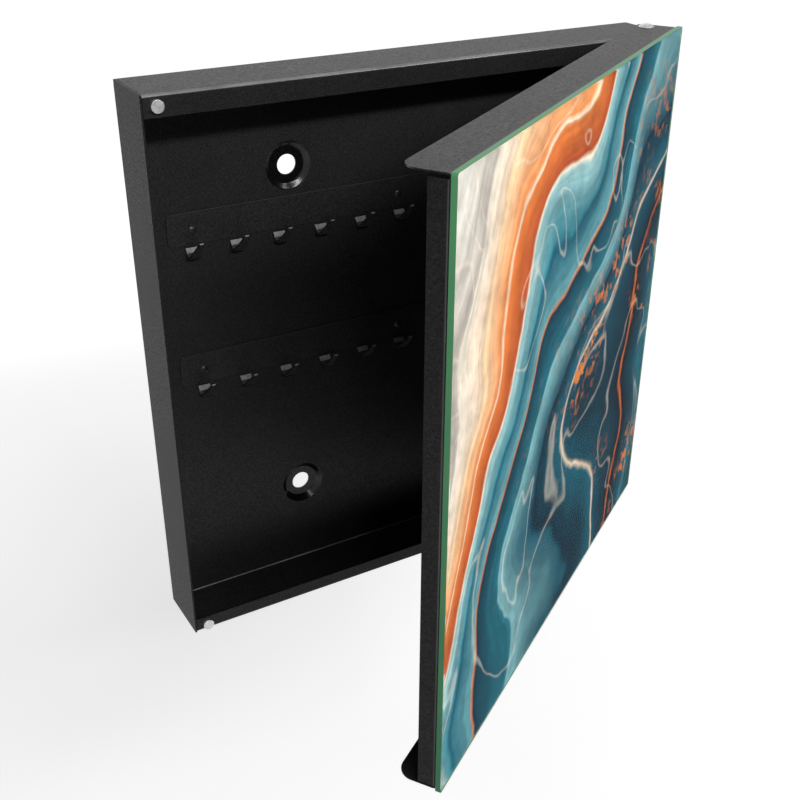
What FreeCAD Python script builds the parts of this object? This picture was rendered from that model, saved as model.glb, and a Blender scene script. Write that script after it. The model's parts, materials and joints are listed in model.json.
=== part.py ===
import FreeCAD, Part
import math
import os

from FreeCAD import Vector

# A wall cabinet for keys, in millimetres: +X right, +Y to the wall, +Z up.
# The origin is the centre of the four wall holes, on the wall's surface.

# Cabinet: one sheet, folded into a tray that opens to the front, here cut apart beside its rear bends
WIDTH = 400.0
HEIGHT = 394.0
DEPTH = 48.5
SHEET = 1.2
BEND = 1.0
SEAM = 0.3
TOP_LIP = 14.0
BOTTOM_LIP = 11.0
BACK_EDGE = 2.5

# Wall holes, each in a cup pressed out of the back until it meets the wall
HOLE_SPACING_X = 172.0
HOLE_SPACING_Z = 254.0
HOLE_RADIUS = 7.0
CUP_FLOOR_RADIUS = 12.5
CUP_RIM_RADIUS = 17.0
CUP_DEPTH = 3.5

# Hook strips, each a flat plate with a row of tongues along its lower edge
STRIP_LENGTH = 352.0
STRIP_HEIGHT = 22.0
STRIP_SHEET = 1.0
STRIP_CORNER = 3.0
STRIP_LOWER_EDGES = {"upper": 84.3, "lower": -19.0}
HOOK_COUNT = 11
HOOK_PITCH = 32.0
HOOK_WIDTH = 8.6
HOOK_TIP_WIDTH = 3.4
HOOK_TIP_CHAMFER = 0.8
HOOK_BEND = 1.5
HOOK_DROP = 2.4
HOOK_LOW_FORWARD = 5.2
HOOK_LOW = 9.6
HOOK_REACH = 21.0
HOOK_RISE = 6.2

# Rivets that hold the strips to the back
STRIP_RIVET_OFFSET = 158.4
STRIP_RIVET_RISE = 9.5
STRIP_RIVET_RADIUS = 1.6
STRIP_RIVET_HEAD_RADIUS = 3.0
STRIP_RIVET_HEAD_HEIGHT = 1.1

# Magnets on the two lips, at the end where the door closes
MAGNET_RADIUS = 4.0
MAGNET_THICKNESS = 2.9
MAGNET_INSET = 9.75

# Door: a folded pan behind a glass panel, measured with the door closed
DOOR_GAP = 3.0
PAN_SHEET = 1.0
PAN_LEFT_OVERHANG = 2.5
PAN_RIGHT_OVERHANG = 4.5
FLANGE_GAP = 1.2
FLANGE_DEPTH = 28.4
FLANGE_END_INSET = 1.0
FLANGE_FREE_CORNER = 11.0
FLANGE_HINGE_CORNER = 5.0
LEFT_RETURN = 12.0
RIGHT_RETURN = 8.0
RETURN_RELIEF = 3.0
GLASS_MARGIN = 0.5
GLASS_HEIGHT = 400.0
GLASS_THICKNESS = 4.0
GLASS_CORNER = 1.5
GLASS_ARRIS = 0.4
PRINT_THICKNESS = 0.1
TAPE_THICKNESS = 0.3
TAPE_WIDTH = 12.0
TAPE_INSET = 6.0

# Door pivots: a rivet at the top and one at the bottom, each through a washer
PIVOT_INSET = 6.0
PIVOT_SETBACK = 16.1
PIVOT_RADIUS = 2.5
PIVOT_CLEARANCE = 0.05
PIVOT_HEAD_RADIUS = 6.0
PIVOT_HEAD_HEIGHT = 2.6
PIVOT_TAIL_RADIUS = 4.0
PIVOT_TAIL_HEIGHT = 1.8
WASHER_RADIUS = 6.0
END_PLAY = 0.1

# The door stands this far open at rest
DOOR_REST_ANGLE = 33.2

BACK_Y = -CUP_DEPTH
FRONT_Y = BACK_Y - DEPTH
BACK_FACE_Y = BACK_Y - SHEET
RIGHT_X = WIDTH / 2
TOP_Z = HEIGHT / 2
STRIP_FACE_Y = BACK_FACE_Y - STRIP_SHEET

PAN_FRONT_Y = FRONT_Y - DOOR_GAP - PAN_SHEET
PAN_LEFT_X = -RIGHT_X - PAN_LEFT_OVERHANG
PAN_RIGHT_X = RIGHT_X + PAN_RIGHT_OVERHANG
PAN_TOP_Z = TOP_Z + FLANGE_GAP + PAN_SHEET
FLANGE_BACK_Y = PAN_FRONT_Y + FLANGE_DEPTH
PIVOT_X = RIGHT_X - PIVOT_INSET
PIVOT_Y = FRONT_Y + PIVOT_SETBACK


def in_plan(a, b):
    """Point of a flat section seen from above."""
    return Vector(a, b, 0)


def in_side_view(a, b):
    """Point of a flat section seen along X."""
    return Vector(0, a, b)


def rounded_face(corners, place):
    """Flat face through corners, each a point and a radius, with an arc where the radius isn't zero."""
    edges = []
    starts = []
    ends = []
    middles = []
    count = len(corners)
    for index, (corner, radius) in enumerate(corners):
        to_last = (corners[index - 1][0] - corner).normalize()
        to_next = (corners[(index + 1) % count][0] - corner).normalize()
        half_angle = to_last.getAngle(to_next) / 2
        cut = radius / math.tan(half_angle)
        bisector = (to_last + to_next).normalize()
        starts.append(corner + to_last * cut)
        ends.append(corner + to_next * cut)
        middles.append(corner + bisector * (radius / math.sin(half_angle) - radius))
    for index, (corner, radius) in enumerate(corners):
        following = starts[(index + 1) % count]
        if radius > 0:
            arc = [place(p.x, p.y) for p in (starts[index], middles[index], ends[index])]
            edges.append(Part.Arc(*arc).toShape())
        start = ends[index]
        edges.append(Part.makeLine(place(start.x, start.y), place(following.x, following.y)))
    return Part.Face(Part.Wire(edges))


def folded_face(path, thickness, bends, place):
    """Section of a sheet whose one face follows the path, on its left, with an inside radius for each fold."""
    points = [Vector(a, b, 0) for a, b in path]
    steps = [(after - before).normalize() for before, after in zip(points, points[1:])]
    normals = [Vector(-step.y, step.x, 0) for step in steps]
    near = [(points[0], 0)]
    far = [(points[0] + normals[0] * thickness, 0)]
    for index in range(1, len(points) - 1):
        before = normals[index - 1]
        after = normals[index]
        offset = (before + after) * (thickness / (1 + before.dot(after)))
        inside = bends[index - 1]
        outside = inside + thickness if inside > 0 else 0
        turns_left = steps[index - 1].cross(steps[index]).z > 0
        near.append((points[index], outside if turns_left else inside))
        far.append((points[index] + offset, inside if turns_left else outside))
    near.append((points[-1], 0))
    far.append((points[-1] + normals[-1] * thickness, 0))
    return rounded_face(near + far[::-1], place)


def block(x0, x1, y0, y1, z0, z1):
    """Plain box between the given limits."""
    return Part.makeBox(x1 - x0, y1 - y0, z1 - z0, Vector(x0, y0, z0))


def rod(radius, start, end):
    """Round bar from one point to another."""
    axis = end - start
    return Part.makeCylinder(radius, axis.Length, start, axis)


def dome(radius, height, centre, axis):
    """Round rivet head: a spherical cap with the middle of its flat side at the centre."""
    sphere_radius = (radius * radius + height * height) / (2 * height)
    lean = math.asin(radius / sphere_radius) / 2
    middle_height = height - sphere_radius + sphere_radius * math.cos(lean)
    middle = Vector(sphere_radius * math.sin(lean), 0, middle_height)
    profile = [
        Part.makeLine(Vector(0, 0, 0), Vector(radius, 0, 0)),
        Part.Arc(Vector(radius, 0, 0), middle, Vector(0, 0, height)).toShape(),
        Part.makeLine(Vector(0, 0, height), Vector(0, 0, 0)),
    ]
    head = Part.Face(Part.Wire(profile)).revolve(Vector(0, 0, 0), Vector(0, 0, 1), 360)
    head.Placement = FreeCAD.Placement(centre, FreeCAD.Rotation(Vector(0, 0, 1), axis))
    return head


def mirrored_in_x(shape):
    """The shape's twin on the other side of the middle."""
    return shape.mirror(Vector(0, 0, 0), Vector(1, 0, 0))


def mirrored_in_z(shape):
    """The shape's twin at the other end of the cabinet's height."""
    return shape.mirror(Vector(0, 0, 0), Vector(0, 0, 1))


def wall_hole_centres():
    """Middle of each wall hole, on the wall."""
    sides = (-HOLE_SPACING_X / 2, HOLE_SPACING_X / 2)
    levels = (-HOLE_SPACING_Z / 2, HOLE_SPACING_Z / 2)
    return [Vector(x, 0, z) for z in levels for x in sides]


def wall_cups():
    """Dished rings that a press draws from the back round the wall holes."""
    corners = [
        (CUP_RIM_RADIUS, BACK_FACE_Y),
        (CUP_RIM_RADIUS, BACK_Y),
        (CUP_FLOOR_RADIUS, 0),
        (HOLE_RADIUS, 0),
        (HOLE_RADIUS, -SHEET),
        (CUP_FLOOR_RADIUS, -SHEET),
    ]
    section = rounded_face([(Vector(a, b, 0), 0) for a, b in corners], in_plan)
    ring = section.revolve(Vector(0, 0, 0), Vector(0, 1, 0), 360)
    return Part.makeCompound([ring.translated(centre) for centre in wall_hole_centres()])


def back_panel():
    """Flat back inside the walls' bends, with a round window for each cup and the strips' rivet holes."""
    half = RIGHT_X - BACK_EDGE
    top = TOP_Z - BACK_EDGE
    panel = block(-half, half, BACK_FACE_Y, BACK_Y, -top, top)
    for centre in wall_hole_centres():
        panel = panel.cut(rod(CUP_RIM_RADIUS, centre, centre + Vector(0, BACK_FACE_Y, 0)))
    for row in STRIP_LOWER_EDGES:
        for centre in strip_rivet_centres(row):
            panel = panel.cut(rod(STRIP_RIVET_RADIUS, centre, centre + Vector(0, SHEET, 0)))
    return panel


def lipped_wall(lip):
    """Top wall from its bend at the back to its front lip, drilled for the pivot, short of the side walls."""
    path = [
        (BACK_Y, TOP_Z - BACK_EDGE),
        (BACK_Y, TOP_Z),
        (FRONT_Y, TOP_Z),
        (FRONT_Y, TOP_Z - lip),
    ]
    half = RIGHT_X - SHEET - SEAM
    section = folded_face(path, SHEET, (BEND, BEND), in_side_view)
    section.translate(Vector(-half, 0, 0))
    wall = section.extrude(Vector(2 * half, 0, 0))
    pivot = Vector(PIVOT_X, PIVOT_Y, 0)
    return wall.cut(rod(PIVOT_RADIUS, pivot, pivot + Vector(0, 0, HEIGHT)))


def side_wall():
    """Left wall, folded forward from the back, notched at its rear corners."""
    path = [(-RIGHT_X + BACK_EDGE, BACK_Y), (-RIGHT_X, BACK_Y), (-RIGHT_X, FRONT_Y)]
    section = folded_face(path, SHEET, (BEND,), in_plan)
    section.translate(Vector(0, 0, -TOP_Z))
    wall = section.extrude(Vector(0, 0, HEIGHT))
    notch_low = TOP_Z - BACK_EDGE - SEAM
    notch = block(-RIGHT_X - 1, -RIGHT_X + BACK_EDGE + 1, BACK_FACE_Y - BEND, 1, notch_low, TOP_Z + 1)
    return wall.cut(notch).cut(mirrored_in_z(notch))


def strip_rivet_centres(row):
    """Where a strip's rivets meet the back's front face."""
    z = STRIP_LOWER_EDGES[row] + STRIP_RIVET_RISE
    return [Vector(x, BACK_FACE_Y, z) for x in (-STRIP_RIVET_OFFSET, 0, STRIP_RIVET_OFFSET)]


def hook_strip(row):
    """Flat plate of a hook strip, with rounded corners and its rivet holes."""
    low = STRIP_LOWER_EDGES[row]
    half = STRIP_LENGTH / 2
    outline = [(-half, low), (half, low), (half, low + STRIP_HEIGHT), (-half, low + STRIP_HEIGHT)]
    corners = [(Vector(a, b, 0), STRIP_CORNER) for a, b in outline]
    face = rounded_face(corners, lambda a, b: Vector(a, BACK_FACE_Y, b))
    plate = face.extrude(Vector(0, -STRIP_SHEET, 0))
    for centre in strip_rivet_centres(row):
        plate = plate.cut(rod(STRIP_RIVET_RADIUS, centre, centre - Vector(0, STRIP_SHEET, 0)))
    return plate


def hook(row, x):
    """Tongue that leaves a strip's lower edge, dips forward and rises to a narrow blunted tip."""
    low = STRIP_LOWER_EDGES[row]
    path = [
        (BACK_FACE_Y, low),
        (BACK_FACE_Y, low - HOOK_DROP),
        (BACK_FACE_Y - HOOK_LOW_FORWARD, low - HOOK_LOW),
        (BACK_FACE_Y - HOOK_REACH, low + HOOK_RISE),
    ]
    mirrored = [(-a, b) for a, b in path]
    section = folded_face(mirrored, STRIP_SHEET, (0, HOOK_BEND), lambda a, b: Vector(x - HOOK_WIDTH / 2, -a, b))
    bent = section.extrude(Vector(HOOK_WIDTH, 0, 0))
    shoulder_y = BACK_FACE_Y - HOOK_LOW_FORWARD
    tip_y = BACK_FACE_Y - HOOK_REACH
    plan = [
        (Vector(x - HOOK_WIDTH / 2, 0, 0), 0),
        (Vector(x + HOOK_WIDTH / 2, 0, 0), 0),
        (Vector(x + HOOK_WIDTH / 2, shoulder_y, 0), 0),
        (Vector(x + HOOK_TIP_WIDTH / 2, tip_y + HOOK_TIP_CHAMFER, 0), 0),
        (Vector(x + HOOK_TIP_WIDTH / 2 - HOOK_TIP_CHAMFER, tip_y, 0), 0),
        (Vector(x - HOOK_TIP_WIDTH / 2 + HOOK_TIP_CHAMFER, tip_y, 0), 0),
        (Vector(x - HOOK_TIP_WIDTH / 2, tip_y + HOOK_TIP_CHAMFER, 0), 0),
        (Vector(x - HOOK_WIDTH / 2, shoulder_y, 0), 0),
    ]
    blank = rounded_face(plan, in_plan).extrude(Vector(0, 0, 2 * HOOK_REACH))
    blank.translate(Vector(0, 0, low - HOOK_REACH))
    return bent.common(blank)


def strip_rivets(row):
    """The rivets of one strip, each with a domed head in front and its shank set flush behind the back."""
    rivets = []
    for centre in strip_rivet_centres(row):
        face = centre - Vector(0, STRIP_SHEET, 0)
        head = dome(STRIP_RIVET_HEAD_RADIUS, STRIP_RIVET_HEAD_HEIGHT, face, Vector(0, -1, 0))
        shank = rod(STRIP_RIVET_RADIUS, face, centre + Vector(0, SHEET, 0))
        rivets.append(head.fuse(shank).removeSplitter())
    return Part.makeCompound(rivets)


def magnet(z):
    """Disc magnet on the front of a lip."""
    face = Vector(-RIGHT_X + MAGNET_INSET, FRONT_Y, z)
    return rod(MAGNET_RADIUS, face, face - Vector(0, MAGNET_THICKNESS, 0))


def door_pan():
    """Steel pan of the closed door: front, two pivot flanges and two side returns, open at the corners."""
    flange_left = PAN_LEFT_X + FLANGE_END_INSET
    flange_right = PAN_RIGHT_X - FLANGE_END_INSET
    path = [
        (FLANGE_BACK_Y, PAN_TOP_Z),
        (PAN_FRONT_Y, PAN_TOP_Z),
        (PAN_FRONT_Y, -PAN_TOP_Z),
        (FLANGE_BACK_Y, -PAN_TOP_Z),
    ]
    section = folded_face(path, PAN_SHEET, (BEND, BEND), in_side_view)
    section.translate(Vector(flange_left, 0, 0))
    flanged = section.extrude(Vector(flange_right - flange_left, 0, 0))
    plan = [
        (Vector(flange_left, PAN_FRONT_Y, 0), 0),
        (Vector(flange_right, PAN_FRONT_Y, 0), 0),
        (Vector(flange_right, FLANGE_BACK_Y, 0), FLANGE_HINGE_CORNER),
        (Vector(flange_left, FLANGE_BACK_Y, 0), FLANGE_FREE_CORNER),
    ]
    outline = rounded_face(plan, in_plan).extrude(Vector(0, 0, 2 * PAN_TOP_Z))
    outline.translate(Vector(0, 0, -PAN_TOP_Z))
    path = [
        (PAN_LEFT_X, PAN_FRONT_Y + LEFT_RETURN),
        (PAN_LEFT_X, PAN_FRONT_Y),
        (PAN_RIGHT_X, PAN_FRONT_Y),
        (PAN_RIGHT_X, PAN_FRONT_Y + RIGHT_RETURN),
    ]
    return_top = PAN_TOP_Z - RETURN_RELIEF
    section = folded_face(path, PAN_SHEET, (BEND, BEND), in_plan)
    section.translate(Vector(0, 0, -return_top))
    returned = section.extrude(Vector(0, 0, 2 * return_top))
    pivot = Vector(PIVOT_X, PIVOT_Y, 0)
    through = Vector(0, 0, HEIGHT)
    bore = rod(PIVOT_RADIUS + PIVOT_CLEARANCE, pivot - through, pivot + through)
    return flanged.common(outline).fuse(returned).removeSplitter().cut(bore)


def door_sheet(thickness, back_y, arris):
    """Flat rectangle of the glass panel's outline, with its front edges broken by an arris."""
    left = PAN_LEFT_X - GLASS_MARGIN
    right = PAN_RIGHT_X + GLASS_MARGIN
    half = GLASS_HEIGHT / 2
    outline = [(left, -half), (right, -half), (right, half), (left, half)]
    corners = [(Vector(a, b, 0), GLASS_CORNER) for a, b in outline]
    face = rounded_face(corners, lambda a, b: Vector(a, back_y, b))
    sheet = face.extrude(Vector(0, -thickness, 0))
    if arris > 0:
        front_y = back_y - thickness
        front_edges = [e for e in sheet.Edges if abs(e.CenterOfMass.y - front_y) < 1e-6]
        sheet = sheet.makeChamfer(arris, front_edges)
    return sheet


def bonding_tape():
    """Four strips of double-sided tape round the pan's front."""
    back_y = PAN_FRONT_Y
    front_y = PAN_FRONT_Y - TAPE_THICKNESS
    left = PAN_LEFT_X + TAPE_INSET
    right = PAN_RIGHT_X - TAPE_INSET
    top = PAN_TOP_Z - TAPE_INSET
    inner_top = top - TAPE_WIDTH - SEAM
    return Part.makeCompound([
        block(left, left + TAPE_WIDTH, front_y, back_y, -inner_top, inner_top),
        block(right - TAPE_WIDTH, right, front_y, back_y, -inner_top, inner_top),
        block(left, right, front_y, back_y, top - TAPE_WIDTH, top),
        block(left, right, front_y, back_y, -top, -top + TAPE_WIDTH),
    ])


def pivot_rivet():
    """Upper pivot: a wide domed head on the door's flange and a tail formed under the cabinet's top."""
    head_z = PAN_TOP_Z + END_PLAY
    tail_z = TOP_Z - SHEET
    up = Vector(0, 0, 1)
    axis_at = Vector(PIVOT_X, PIVOT_Y, 0)
    head = dome(PIVOT_HEAD_RADIUS, PIVOT_HEAD_HEIGHT, axis_at + up * head_z, up)
    shank = rod(PIVOT_RADIUS, axis_at + up * tail_z, axis_at + up * head_z)
    tail = rod(PIVOT_TAIL_RADIUS, axis_at + up * (tail_z - PIVOT_TAIL_HEIGHT), axis_at + up * tail_z)
    return head.fuse([shank, tail]).removeSplitter()


def pivot_washer():
    """Upper washer, which carries the door's flange on the cabinet's top."""
    axis_at = Vector(PIVOT_X, PIVOT_Y, TOP_Z)
    above = Vector(PIVOT_X, PIVOT_Y, TOP_Z + FLANGE_GAP - END_PLAY)
    return rod(WASHER_RADIUS, axis_at, above).cut(rod(PIVOT_RADIUS + PIVOT_CLEARANCE, axis_at, above))


def opened(shape):
    """The shape, built for the closed door, turned to the rest position."""
    turned = shape.copy()
    turned.rotate(Vector(PIVOT_X, PIVOT_Y, 0), Vector(0, 0, 1), DOOR_REST_ANGLE)
    return turned


def all_parts():
    """Every sub-part by its name."""
    parts = {"back_panel": back_panel(), "wall_cups": wall_cups()}
    parts["top_wall"] = lipped_wall(TOP_LIP)
    parts["bottom_wall"] = mirrored_in_z(lipped_wall(BOTTOM_LIP))
    parts["left_wall"] = side_wall()
    parts["right_wall"] = mirrored_in_x(side_wall())
    for row in STRIP_LOWER_EDGES:
        parts[f"hook_strip_{row}"] = hook_strip(row)
        parts[f"strip_rivets_{row}"] = strip_rivets(row)
        for number in range(HOOK_COUNT):
            x = (number - (HOOK_COUNT - 1) / 2) * HOOK_PITCH
            parts[f"hook_{row}_{number + 1:02d}"] = hook(row, x)
    parts["magnets"] = Part.makeCompound([magnet(TOP_Z - TOP_LIP / 2), magnet(-TOP_Z + BOTTOM_LIP / 2)])
    parts["pivot_rivets"] = Part.makeCompound([pivot_rivet(), mirrored_in_z(pivot_rivet())])
    parts["pivot_washers"] = Part.makeCompound([pivot_washer(), mirrored_in_z(pivot_washer())])
    print_back_y = PAN_FRONT_Y - TAPE_THICKNESS
    glass_back_y = print_back_y - PRINT_THICKNESS
    parts["door_pan"] = opened(door_pan())
    parts["bonding_tape"] = opened(bonding_tape())
    parts["print_layer"] = opened(door_sheet(PRINT_THICKNESS, print_back_y, 0))
    parts["glass_panel"] = opened(door_sheet(GLASS_THICKNESS, glass_back_y, GLASS_ARRIS))
    return parts


os.makedirs("parts", exist_ok=True)
for name, shape in all_parts().items():
    shape.exportStep(f"parts/{name}.step")
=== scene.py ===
import json
import math

import bpy
from mathutils import Euler, Matrix, Vector


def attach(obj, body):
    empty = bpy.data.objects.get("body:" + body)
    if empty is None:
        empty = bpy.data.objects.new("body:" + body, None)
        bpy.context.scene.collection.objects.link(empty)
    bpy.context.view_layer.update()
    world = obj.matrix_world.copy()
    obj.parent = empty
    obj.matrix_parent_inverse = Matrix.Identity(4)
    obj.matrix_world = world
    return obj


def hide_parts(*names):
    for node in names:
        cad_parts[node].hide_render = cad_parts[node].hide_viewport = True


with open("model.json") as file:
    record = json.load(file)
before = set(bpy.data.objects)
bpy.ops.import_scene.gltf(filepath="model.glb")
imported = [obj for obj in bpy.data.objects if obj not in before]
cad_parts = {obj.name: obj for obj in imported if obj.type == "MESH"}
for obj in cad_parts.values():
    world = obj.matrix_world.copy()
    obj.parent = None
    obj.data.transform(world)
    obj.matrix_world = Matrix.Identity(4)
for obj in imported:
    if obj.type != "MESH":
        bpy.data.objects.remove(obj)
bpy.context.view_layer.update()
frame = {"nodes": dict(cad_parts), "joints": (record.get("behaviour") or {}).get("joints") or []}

# The door stands open at rest, so its print and its pattern are laid out on the closed door and turned
hinge = frame["joints"][0]
hinge_place = Vector(hinge["pos_m"])
door_angle = math.radians(-hinge["range_deg"][0])
door_opening = (
    Matrix.Translation(hinge_place) @ Matrix.Rotation(door_angle, 4, "Z") @ Matrix.Translation(-hinge_place))

# The glass panel on the closed door, and the print sheet just inside its back
PANEL_LEFT = -0.2030
PANEL_RIGHT = 0.2050
PANEL_HALF_HEIGHT = 0.2000
PANEL_BACK = -0.0564
PANEL_MIDDLE = (PANEL_LEFT + PANEL_RIGHT) / 2
PRINT_INSET = 0.00002
PRINT_MARGIN = 0.0002
PRINT_CORNER = 0.0014
PRINT_THICKNESS = 0.00008

# The cups round the wall holes: their places, and where their foot and rim begin and end, from their middle
CUP_ACROSS = 0.086
CUP_UP = 0.127
CUP_FOOT = (0.0116, 0.0138)
CUP_RIM = (0.0180, 0.0154)
CUP_STEEPNESS = 0.56

# A face points to the front where the Y of its normal is below this
FRONT_FACING = -0.5

# The hooks get a painted highlight on their first bend and on the end of their tip
HOOK_HIGHLIGHT_END = -0.0078
HOOK_TIP_START = -0.0215
UP_AND_FORWARD = (0, -0.707, 0.707)
UPWARD = (0, 0, 1)

# A flat face's normal has one part above the first value, and a fold's has none above the second
FLAT_FACE = 0.999
FOLD_FACE = 0.9

GLASS_TINT = (0.97, 0.99, 0.98, 1.0)
GLASS_IOR = 1.5
GLASS_SHARE_WITHOUT_GLARE = 0.93

# The marbled print: how far it swirls and ripples, which way it flows, and its bands from light to dark
SWIRL = 0.62
RIPPLE = 0.035
FLOW_WAY = (1.45, 0.0, -1.0)
FLOW_START = 0.47
STROKE_WAY = (3.0, 0.0, 4.4)
STROKES_ACROSS_FLOW = 60.0
INK_BANDS = (
    (0.000, (214, 206, 198)), (0.070, (176, 166, 156)), (0.073, (230, 218, 204)), (0.130, (222, 190, 162)),
    (0.133, (236, 200, 160)), (0.200, (226, 138, 78)), (0.206, (244, 224, 198)), (0.212, (214, 116, 56)),
    (0.275, (168, 72, 38)), (0.281, (246, 228, 202)), (0.287, (150, 188, 190)), (0.350, (46, 120, 134)),
    (0.353, (14, 84, 104)), (0.410, (96, 152, 160)), (0.416, (218, 126, 62)), (0.422, (6, 48, 68)),
    (0.500, (32, 108, 124)), (0.503, (120, 166, 172)), (0.580, (12, 76, 94)), (0.583, (4, 36, 54)),
    (0.650, (22, 92, 110)), (0.656, (232, 206, 178)), (0.662, (14, 74, 92)), (0.745, (4, 30, 46)),
    (0.751, (210, 112, 52)), (0.757, (3, 22, 36)), (0.850, (16, 74, 92)), (0.853, (34, 102, 116)),
    (1.000, (2, 16, 28)))
VEIN_INK = (238, 222, 202)
GILT_INK = (216, 122, 52)

FLOOR_WIDTH = 14
FLOOR_HEIGHT = -0.75

COLOR, VALUE, DIRECTION = "NodeSocketColor", "NodeSocketFloat", "NodeSocketVector"


def grey(level):
    """A neutral colour."""
    return level, level, level, 1.0


def srgb(red, green, blue):
    """A colour written as on a screen, as the light it stands for."""
    light = ((c / 255 / 12.92) if c <= 10 else ((c / 255 + 0.055) / 1.055) ** 2.4 for c in (red, green, blue))
    return (*light, 1.0)


def wire(tree, value, socket):
    """Feed a socket from another socket, or set it to a plain value."""
    if isinstance(value, bpy.types.NodeSocket):
        tree.links.new(value, socket)
    else:
        socket.default_value = value


def put(tree, kind, feeds=None, **settings):
    """Add a node, with its settings and with values or sockets for its inputs."""
    made = tree.nodes.new("ShaderNode" + kind)
    for name, value in settings.items():
        setattr(made, name, value)
    for name, value in (feeds or {}).items():
        wire(tree, value, made.inputs[name])
    return made


def math_step(tree, operation, first, second=0.0, third=0.0):
    """One sum of two or three values."""
    return put(tree, "Math", {0: first, 1: second, 2: third}, operation=operation).outputs[0]


def product(tree, first, *others):
    """Values multiplied together."""
    for value in others:
        first = math_step(tree, "MULTIPLY", first, value)
    return first


def vector_step(tree, operation, first, second=(0, 0, 0)):
    """One step on directions or places."""
    return put(tree, "VectorMath", {0: first, 1: second}, operation=operation).outputs["Vector"]


def measure(tree, operation, first, second=(0, 0, 0)):
    """A length or a dot product."""
    return put(tree, "VectorMath", {0: first, 1: second}, operation=operation).outputs["Value"]


def scaled(tree, vector, factor):
    """A colour, direction or place times a value."""
    return put(tree, "VectorMath", {0: vector, "Scale": factor}, operation="SCALE").outputs["Vector"]


def axes(tree, vector):
    """The X, Y and Z of a direction or place."""
    return put(tree, "SeparateXYZ", {0: vector}).outputs


def span(tree, value, low, high, new_low=0.0, new_high=1.0, curve="LINEAR"):
    """A value moved from one range to another, and held at its ends."""
    return put(tree, "MapRange", {
        "Value": value, "From Min": low, "From Max": high, "To Min": new_low, "To Max": new_high},
        interpolation_type=curve).outputs["Result"]


def noise(tree, place, scale, detail, roughness=0.5, output="Fac"):
    """Cloudy noise, with its scale in clouds per unit of the place."""
    return put(tree, "TexNoise", {
        "Vector": place, "Scale": scale, "Detail": detail, "Roughness": roughness}).outputs[output]


def blend(tree, share, first, second, data="RGBA"):
    """Mix of two colours or of two directions."""
    start, result = {"RGBA": (6, 2), "VECTOR": (4, 1)}[data]
    mix = put(tree, "Mix", {0: share, start: first, start + 1: second}, data_type=data)
    return mix.outputs[result]


def turned_about_z(tree, vector, angle):
    """A direction turned about the upright axis."""
    turned = put(tree, "VectorRotate", {"Vector": vector, "Angle": angle}, rotation_type="Z_AXIS")
    return turned.outputs["Vector"]


def object_place(tree):
    """Place on the object, in metres."""
    return put(tree, "TexCoord").outputs["Object"]


def face_normal(tree):
    """The way the mesh's own face points."""
    return put(tree, "NewGeometry").outputs["True Normal"]


def color_ramp(tree, value, stops):
    """Screen colours by place along a line."""
    made = put(tree, "ValToRGB", {"Fac": value})
    points = made.color_ramp.elements
    while len(points) < len(stops):
        points.new(0.5)
    for point, (place, color) in zip(points, stops):
        point.position = place
        point.color = srgb(*color)
    return made.outputs["Color"]


def effect(name, sockets_in, sockets_out):
    """Empty shader node group with its inputs and outputs."""
    tree = bpy.data.node_groups.new(name, "ShaderNodeTree")
    for socket_name, kind, value in sockets_in:
        socket = tree.interface.new_socket(socket_name, in_out="INPUT", socket_type=kind)
        socket.default_value = value
    for socket_name, kind in sockets_out:
        tree.interface.new_socket(socket_name, in_out="OUTPUT", socket_type=kind)
    return tree, tree.nodes.new("NodeGroupInput").outputs, tree.nodes.new("NodeGroupOutput").inputs


def powder_effect():
    """Fine orange peel, specks, cloudy tone, and folds that are lighter, partly from wear and partly as a
    painted highlight, of a powder coat.
    """
    tree, given, out = effect(
        "powder_coat",
        [("Color", COLOR, grey(0.02)), ("Rubbed And Highlit Color", COLOR, grey(0.1)), ("Roughness", VALUE, 0.5),
         ("Grain Scale", VALUE, 900.0), ("Grain Depth", VALUE, 0.3), ("Turn", VALUE, 0.0),
         ("Surface", DIRECTION, (0, 0, 0)), ("Fold Shine", VALUE, 0.5)],
        [("Color", COLOR), ("Roughness", VALUE), ("Normal", DIRECTION), ("Shine", VALUE)])
    place = object_place(tree)
    grain = noise(tree, place, scale=given["Grain Scale"], detail=3.0)
    clouds = noise(tree, place, scale=16.0, detail=5.0)
    flecks = noise(tree, place, scale=1100.0, detail=2.0)
    glints = noise(tree, place, scale=480.0, detail=4.0, roughness=0.7)

    along = [math_step(tree, "ABSOLUTE", side)
             for side in axes(tree, turned_about_z(tree, face_normal(tree), given["Turn"]))]
    facing = math_step(tree, "MAXIMUM", math_step(tree, "MAXIMUM", along[0], along[1]), along[2])
    fold = span(tree, facing, FLAT_FACE, FOLD_FACE)
    # Folds are lighter: partly edge wear, partly a painted highlight along them
    wear_and_painted_highlight = product(tree, fold, span(tree, clouds, 0.35, 0.6, 0.25, 1.0))

    shade = product(tree, span(tree, clouds, 0.3, 0.7, 0.86, 1.14), span(tree, flecks, 0.3, 0.7, 0.45, 1.7))
    coat = scaled(tree, given["Color"], shade)
    wire(tree, blend(tree, wear_and_painted_highlight, coat, given["Rubbed And Highlit Color"]), out["Color"])

    rough = math_step(tree, "ADD", given["Roughness"], span(tree, grain, 0.0, 1.0, -0.15, 0.15))
    wire(tree, math_step(tree, "MULTIPLY_ADD", wear_and_painted_highlight, -0.15, rough), out["Roughness"])

    glinting = span(tree, glints, 0.40, 0.70, 0.0, 0.20)
    wire(tree, math_step(tree, "MAXIMUM", product(tree, fold, given["Fold Shine"]), glinting), out["Shine"])

    bump = put(tree, "Bump", {
        "Height": grain, "Strength": given["Grain Depth"], "Distance": 0.0004, "Normal": given["Surface"]})
    wire(tree, bump.outputs["Normal"], out["Normal"])
    return tree


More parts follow.
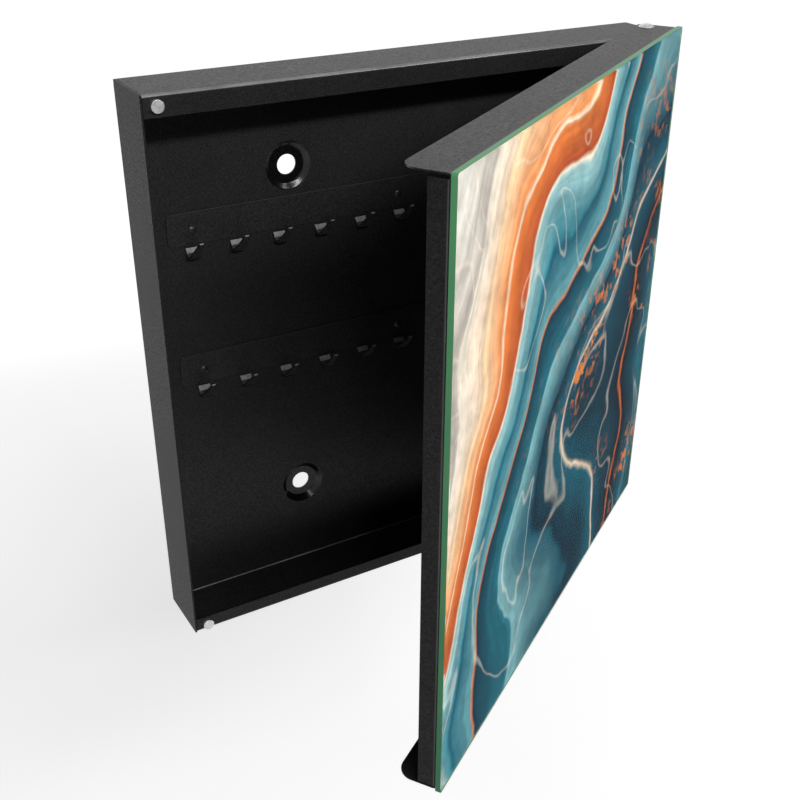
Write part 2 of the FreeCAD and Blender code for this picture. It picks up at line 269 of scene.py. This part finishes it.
def cup_effect():
    """Soft rim and foot of the four cups that are pressed round the wall holes."""
    tree, given, out = effect(
        "pressed_cups", [("Steepness", VALUE, CUP_STEEPNESS)], [("Normal", DIRECTION)])
    place = axes(tree, object_place(tree))
    offsets = {}
    for axis, middle in (("X", CUP_ACROSS), ("Z", CUP_UP)):
        away = math_step(tree, "SUBTRACT", math_step(tree, "ABSOLUTE", place[axis]), middle)
        offsets[axis] = product(tree, away, math_step(tree, "SIGN", place[axis]))
    away = put(tree, "CombineXYZ", offsets).outputs["Vector"]
    radius = measure(tree, "LENGTH", away)
    outward = vector_step(tree, "NORMALIZE", away)

    foot = span(tree, radius, *CUP_FOOT, curve="SMOOTHSTEP")
    rim = span(tree, radius, *CUP_RIM, curve="SMOOTHSTEP")
    lean = product(tree, foot, rim, given["Steepness"])
    inward = scaled(tree, outward, product(tree, lean, -1.0))
    pressed = vector_step(tree, "NORMALIZE", vector_step(tree, "ADD", inward, (0, -1, 0)))

    flat = put(tree, "NewGeometry").outputs["Normal"]
    front = math_step(tree, "LESS_THAN", axes(tree, flat)["Y"], FRONT_FACING)
    wire(tree, blend(tree, front, flat, pressed, data="VECTOR"), out["Normal"])
    return tree


def plated_effect():
    """Fine turning marks, dull spots and a soft rim of a plated part."""
    tree, given, out = effect(
        "plated_metal",
        [("Color", COLOR, grey(0.7)), ("Roughness", VALUE, 0.3), ("Mark Depth", VALUE, 0.2),
         ("Rim Width", VALUE, 0.0004)],
        [("Color", COLOR), ("Roughness", VALUE), ("Normal", DIRECTION)])
    place = object_place(tree)
    marks = noise(tree, place, scale=2600.0, detail=4.0)
    spots = noise(tree, place, scale=420.0, detail=4.0)
    wire(tree, scaled(tree, given["Color"], span(tree, spots, 0.35, 0.7, 0.82, 1.05)), out["Color"])
    wire(tree, math_step(tree, "ADD", given["Roughness"], product(tree, spots, 0.16)), out["Roughness"])
    soft = put(tree, "Bevel", {"Radius": given["Rim Width"]}, samples=6).outputs["Normal"]
    bump = put(tree, "Bump", {
        "Height": marks, "Strength": given["Mark Depth"], "Distance": 0.0001, "Normal": soft})
    wire(tree, bump.outputs["Normal"], out["Normal"])
    return tree


def new_finish(name, values=None):
    """Material with a Principled shader that has some plain values, and the shader."""
    finish = bpy.data.materials.new(name)
    finish.use_nodes = True
    tree = finish.node_tree
    tree.nodes.clear()
    shader = put(tree, "BsdfPrincipled", values)
    put(tree, "OutputMaterial", {"Surface": shader.outputs[0]})
    return finish, tree, shader


def join_up(tree, source, shader, pairs):
    """Feed a shader's inputs from a node's outputs."""
    for output, target in pairs:
        wire(tree, source.outputs[output], shader.inputs[target])


def coated_steel(name, color, rubbed_and_highlit, specular, fold_shine, fold_gloss, roughness=0.42, grain=900.0,
                 depth=0.4, turn=0.0, pressed=False, wear_and_painted_highlight=None, highlight_facing=UP_AND_FORWARD):
    """Black powder coat, glossier at folds, with a painted highlight on faces that point one way if its
    colour is given.
    """
    finish, tree, shader = new_finish(name, {"Specular IOR Level": specular, "Coat Roughness": fold_gloss})
    surface = put(tree, "Group", node_tree=cups) if pressed else put(tree, "NewGeometry")
    coat = put(tree, "Group", node_tree=powder)
    for socket, value in (
            ("Color", grey(color)), ("Rubbed And Highlit Color", grey(rubbed_and_highlit)), ("Roughness", roughness),
            ("Grain Scale", grain), ("Grain Depth", depth), ("Turn", turn), ("Fold Shine", fold_shine),
            ("Surface", surface.outputs["Normal"])):
        wire(tree, value, coat.inputs[socket])
    join_up(tree, coat, shader, (
        ("Color", "Base Color"), ("Roughness", "Roughness"), ("Normal", "Normal"), ("Shine", "Coat Weight")))
    if wear_and_painted_highlight is not None:
        share = painted_highlight_share(tree, highlight_facing)
        wire(tree, blend(tree, share, coat.outputs["Color"], grey(wear_and_painted_highlight)), shader.inputs["Base Color"])
    return finish


def painted_highlight_share(tree, way):
    """Patchy painted highlight on the faces that point one way, at a hook's first bend and at the end of its
    tip.
    """
    place = object_place(tree)
    patches = span(tree, noise(tree, place, scale=380.0, detail=4.0), 0.25, 0.55, 0.6, 1.0)
    facing = span(tree, measure(tree, "DOT_PRODUCT", face_normal(tree), way), 0.80, 0.95)
    depthwise = axes(tree, place)["Y"]
    bend = math_step(tree, "GREATER_THAN", depthwise, HOOK_HIGHLIGHT_END)
    tip = math_step(tree, "LESS_THAN", depthwise, HOOK_TIP_START)
    return product(tree, patches, facing, math_step(tree, "MAXIMUM", bend, tip))


def plated(name, color, roughness, depth, rim=0.0004):
    """Bare plated metal."""
    finish, tree, shader = new_finish(name, {"Metallic": 1.0})
    skin = put(tree, "Group", node_tree=plating)
    for socket, value in (
            ("Color", grey(color)), ("Roughness", roughness), ("Mark Depth", depth), ("Rim Width", rim)):
        wire(tree, value, skin.inputs[socket])
    join_up(tree, skin, shader, (("Color", "Base Color"), ("Roughness", "Roughness"), ("Normal", "Normal")))
    return finish


def plain_plastic(name, color, roughness, scale):
    """Dull moulded plastic or foam with a little mottling."""
    finish, tree, shader = new_finish(name)
    mottle = noise(tree, object_place(tree), scale=scale, detail=3.0)
    darker = tuple(c * 0.75 for c in color)
    wire(tree, blend(tree, mottle, (*darker, 1), (*color, 1)), shader.inputs["Base Color"])
    wire(tree, span(tree, mottle, 0.0, 1.0, roughness - 0.1, roughness + 0.1), shader.inputs["Roughness"])
    bump = put(tree, "Bump", {"Height": mottle, "Strength": 0.2, "Distance": 0.0002})
    wire(tree, bump.outputs["Normal"], shader.inputs["Normal"])
    return finish


def on_closed_door(tree):
    """Object coordinates turned back to the closed door, from the panel's middle."""
    shift = hinge_place - Matrix.Rotation(-door_angle, 4, "Z") @ hinge_place - Vector((PANEL_MIDDLE, 0, 0))
    return put(tree, "Mapping", {
        "Vector": object_place(tree), "Location": shift, "Rotation": (0, 0, -door_angle)}).outputs["Vector"]


def stirred(tree, place):
    """Places moved as in stirred paint: by a broad swirl and a fine ripple."""
    moved = place
    for reach, scale, detail, roughness in ((SWIRL, 3.4, 1.5, 0.4), (RIPPLE, 13.0, 3.0, 0.5)):
        drift = noise(tree, place, scale, detail, roughness, output="Color")
        drift = vector_step(tree, "SUBTRACT", drift, (0.5, 0.5, 0.5))
        moved = vector_step(tree, "ADD", moved, scaled(tree, drift, reach))
    return moved


def flowing_ink():
    """Ink on the glass's back: marbled bands, aslant and curling, with fine lines, veins and gilding."""
    finish, tree, shader = new_finish("printed_ink", {"Roughness": 0.6, "Specular IOR Level": 0.0})
    place = on_closed_door(tree)
    moved = stirred(tree, place)
    flow = math_step(tree, "ADD", measure(tree, "DOT_PRODUCT", moved, FLOW_WAY), FLOW_START)
    inked = color_ramp(tree, flow, INK_BANDS)

    veins = noise(tree, moved, scale=7.0, detail=2.0)
    ridge = math_step(tree, "ABSOLUTE", math_step(tree, "SUBTRACT", veins, 0.5))
    inked = blend(tree, span(tree, ridge, 0.008, 0.0, 0.0, 0.35), inked, srgb(*VEIN_INK))

    flakes = span(tree, noise(tree, place, scale=150.0, detail=2.0), 0.56, 0.60)
    drifts = span(tree, noise(tree, moved, scale=10.0, detail=2.0), 0.5, 0.62)
    gilding = product(tree, flakes, drifts, span(tree, flow, 0.45, 0.7))
    inked = blend(tree, gilding, inked, srgb(*GILT_INK))

    stroke = put(tree, "CombineXYZ", {
        "X": product(tree, flow, STROKES_ACROSS_FLOW),
        "Y": measure(tree, "DOT_PRODUCT", moved, STROKE_WAY)}).outputs["Vector"]
    lines = noise(tree, stroke, scale=1.0, detail=5.0, roughness=0.65)
    inked = scaled(tree, inked, span(tree, lines, 0.3, 0.7, 0.56, 0.98))
    pools = noise(tree, place, scale=60.0, detail=6.0, roughness=0.7)
    inked = scaled(tree, inked, span(tree, pools, 0.3, 0.7, 0.74, 1.18))
    wire(tree, inked, shader.inputs["Base Color"])
    return finish


def door_glass():
    """Clear glass with little glare, and ground edges that are green and darker towards the bottom."""
    finish, tree, pane = new_finish("door_glass", {
        "Base Color": GLASS_TINT, "Roughness": 0.0, "IOR": GLASS_IOR, "Transmission Weight": 1.0})
    through = put(tree, "BsdfRefraction", {"Color": GLASS_TINT, "Roughness": 0.0, "IOR": GLASS_IOR})
    clear = put(tree, "MixShader", {0: GLASS_SHARE_WITHOUT_GLARE, 1: pane.outputs[0], 2: through.outputs[0]})

    place = on_closed_door(tree)
    height = span(tree, axes(tree, place)["Z"], -PANEL_HALF_HEIGHT, PANEL_HALF_HEIGHT)
    green = blend(tree, height, srgb(58, 114, 86), srgb(82, 148, 104))
    cloudy = product(tree, noise(tree, place, scale=60.0, detail=4.0), 0.35)
    edge = put(tree, "BsdfPrincipled", {
        "Base Color": blend(tree, cloudy, green, srgb(108, 152, 104)), "Roughness": 0.35,
        "Specular IOR Level": 0.06})
    depthwise = axes(tree, turned_about_z(tree, face_normal(tree), -door_angle))["Y"]
    side = span(tree, math_step(tree, "ABSOLUTE", depthwise), 0.5, 0.3)
    seen = put(tree, "MixShader", {0: side, 1: clear.outputs[0], 2: edge.outputs[0]})

    lamp_rays = put(tree, "LightPath").outputs["Is Shadow Ray"]
    passed = put(tree, "BsdfTransparent")
    both = put(tree, "MixShader", {0: lamp_rays, 1: seen.outputs[0], 2: passed.outputs[0]})
    wire(tree, both.outputs[0], tree.nodes["Material Output"].inputs["Surface"])
    return finish


def ink_sheet():
    """The print as a thin sheet with the panel's rounded corners, just inside the glass's back."""
    bpy.ops.object.select_all(action="DESELECT")
    bpy.ops.mesh.primitive_plane_add(
        size=1, location=(PANEL_MIDDLE, PANEL_BACK - PRINT_INSET, 0), rotation=(math.radians(90), 0, 0))
    sheet = bpy.context.object
    sheet.name = "ink_sheet"
    sheet.scale = (PANEL_RIGHT - PANEL_LEFT - 2 * PRINT_MARGIN, 2 * (PANEL_HALF_HEIGHT - PRINT_MARGIN), 1)
    bpy.ops.object.transform_apply(location=True, rotation=True, scale=True)
    bpy.ops.object.mode_set(mode="EDIT")
    bpy.ops.mesh.select_all(action="SELECT")
    bpy.ops.mesh.bevel(offset=PRINT_CORNER, offset_type="OFFSET", segments=5, affect="VERTICES")
    bpy.ops.object.mode_set(mode="OBJECT")
    film = sheet.modifiers.new("film", "SOLIDIFY")
    film.thickness = PRINT_THICKNESS
    film.offset = -1
    bpy.ops.object.modifier_apply(modifier="film")
    sheet.matrix_world = door_opening
    bpy.ops.object.transform_apply(location=True, rotation=True, scale=True)
    sheet.data.materials.clear()
    sheet.data.materials.append(ink)
    return sheet


def soft_lamp(name, place, aim, size, power):
    """Soft white box light that points at a place."""
    lamp = bpy.data.lights.new(name, "AREA")
    lamp.shape = "RECTANGLE"
    lamp.size, lamp.size_y = size
    lamp.energy = power
    holder = bpy.data.objects.new(name, lamp)
    holder.location = place
    holder.rotation_euler = (Vector(aim) - Vector(place)).to_track_quat("-Z", "Y").to_euler()
    bpy.context.scene.collection.objects.link(holder)


def background_rays(tree):
    """1 for rays that show the background: from the camera, in a mirror or through glass."""
    path = put(tree, "LightPath").outputs
    seen = math_step(tree, "MAXIMUM", path["Is Camera Ray"], path["Is Glossy Ray"])
    return math_step(tree, "MAXIMUM", seen, path["Is Transmission Ray"])


def pale_floor():
    """Wide pale floor well below the cabinet, with a glow that grows outwards so that it ends in white."""
    bpy.ops.object.select_all(action="DESELECT")
    bpy.ops.mesh.primitive_plane_add(size=FLOOR_WIDTH, location=(0, 0, FLOOR_HEIGHT))
    floor = bpy.context.object
    floor.name = "pale_floor"
    finish, tree, shader = new_finish("pale_floor", {
        "Base Color": grey(0.82), "Roughness": 0.9, "Specular IOR Level": 0.1, "Emission Color": grey(1)})
    lift = span(tree, measure(tree, "LENGTH", object_place(tree)), 0.3, 2.4, 0.48, 0.9)
    wire(tree, product(tree, background_rays(tree), lift), shader.inputs["Emission Strength"])
    floor.data.materials.append(finish)


def white_surroundings():
    """White behind the object, and a softer even light on it."""
    world = bpy.data.worlds.new("white_surroundings")
    bpy.context.scene.world = world
    world.use_nodes = True
    tree = world.node_tree
    tree.nodes.clear()
    strength = span(tree, background_rays(tree), 0.0, 1.0, 0.10, 1.0)
    sky = put(tree, "Background", {"Color": grey(1), "Strength": strength})
    put(tree, "OutputWorld", {"Surface": sky.outputs[0]})


def photo_camera():
    """Camera at the photograph's place."""
    lens = bpy.data.cameras.new("camera")
    lens.lens = 51.923
    lens.sensor_width = 36
    lens.shift_x = -0.02854
    lens.shift_y = 0.03132
    lens.clip_start = 0.01
    holder = bpy.data.objects.new("camera", lens)
    yaw, pitch, roll = math.radians(-31.775), math.radians(-29.458), math.radians(0.896)
    turn = Euler((0, 0, yaw)).to_matrix() @ Euler((math.pi / 2 + pitch, 0, 0)).to_matrix()
    turn = turn @ Euler((0, 0, roll)).to_matrix()
    holder.matrix_world = Matrix.Translation((-0.41073, -0.70716, 0.36011)) @ turn.to_4x4()
    bpy.context.scene.collection.objects.link(holder)
    bpy.context.scene.camera = holder


photo_camera()

powder = powder_effect()
plating = plated_effect()
cups = cup_effect()
# The second value is the folds' lighter colour: partly edge wear, partly a painted highlight
black_sheet = coated_steel(
    "black_sheet", 0.012, 0.17, specular=0.06, fold_shine=1.0, fold_gloss=0.22, depth=0.6)
side_sheet = coated_steel(
    "side_sheet", 0.012, 0.10, specular=0.045, fold_shine=1.0, fold_gloss=0.22, depth=0.6)
pressed_sheet = coated_steel(
    "pressed_sheet", 0.013, 0.04, specular=0.07, fold_shine=0.8, fold_gloss=0.3, depth=0.6, pressed=True)
# The cups' coat is darker than the rest of the sheet: painted shade in the cups
cup_sheet = coated_steel(
    "cup_sheet", 0.003, 0.004, specular=0.15, fold_shine=0.22, fold_gloss=0.19, roughness=0.26, grain=700.0,
    depth=0.10, pressed=True)
door_sheet = coated_steel(
    "door_sheet", 0.010, 0.04, specular=0.06, fold_shine=0.6, fold_gloss=0.3, turn=-door_angle)
hook_coat = coated_steel(
    # The hooks' faces that point up and forward are lighter: a painted highlight where the lamp catches them
    "hook_coat", 0.012, 0.02, specular=0.12, fold_shine=0.15, fold_gloss=0.3, grain=1100.0, wear_and_painted_highlight=0.20)
# The strips' top faces are lighter: a painted highlight from the light above
strip_coat = coated_steel(
    "strip_coat", 0.014, 0.02, specular=0.12, fold_shine=0.15, fold_gloss=0.3, grain=1100.0, wear_and_painted_highlight=0.06,
    highlight_facing=UPWARD)
rivet_coat = coated_steel(
    "rivet_coat", 0.010, 0.012, specular=0.12, fold_shine=0.14, fold_gloss=0.34, roughness=0.40, grain=1300.0,
    depth=0.3)
nickel = plated("magnet_nickel", 0.52, roughness=0.34, depth=0.25)
zinc = plated("bright_zinc", 0.52, roughness=0.30, depth=0.12)
nylon = plain_plastic("washer_nylon", (0.045, 0.045, 0.045), roughness=0.55, scale=900.0)
tape = plain_plastic("acrylic_tape", (0.35, 0.36, 0.35), roughness=0.6, scale=500.0)
ink = flowing_ink()
glass = door_glass()

# Finishes by how a node's name starts, with hook_strip before hook_ because the first match is taken
finishes = {
    "back_panel": pressed_sheet, "wall_cups": cup_sheet, "left_wall": side_sheet, "right_wall": side_sheet,
    "top_wall": black_sheet, "bottom_wall": black_sheet, "door_pan": door_sheet, "hook_strip": strip_coat,
    "hook_": hook_coat, "strip_rivets": rivet_coat, "magnets": nickel, "pivot_rivets": zinc,
    "pivot_washers": nylon, "bonding_tape": tape, "print_layer": ink, "glass_panel": glass}
for name, node in frame["nodes"].items():
    node.data.materials.clear()
    node.data.materials.append(next(finish for start, finish in finishes.items() if name.startswith(start)))

print_piece = ink_sheet()
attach(print_piece, "door")
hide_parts("print_layer")

pale_floor()
white_surroundings()
soft_lamp("key_lamp", place=(-0.19, -2.1, 1.42), aim=(0, -0.05, 0), size=(1.5, 0.16), power=52)
soft_lamp("top_lamp", place=(1.0, 1.5, 1.3), aim=(0, -0.1, 0), size=(1.8, 1.0), power=5)
soft_lamp("fill_lamp", place=(1.3, -1.8, 1.3), aim=(0.05, -0.1, 0), size=(0.6, 0.4), power=13)

bpy.context.scene.view_settings.view_transform = "Standard"
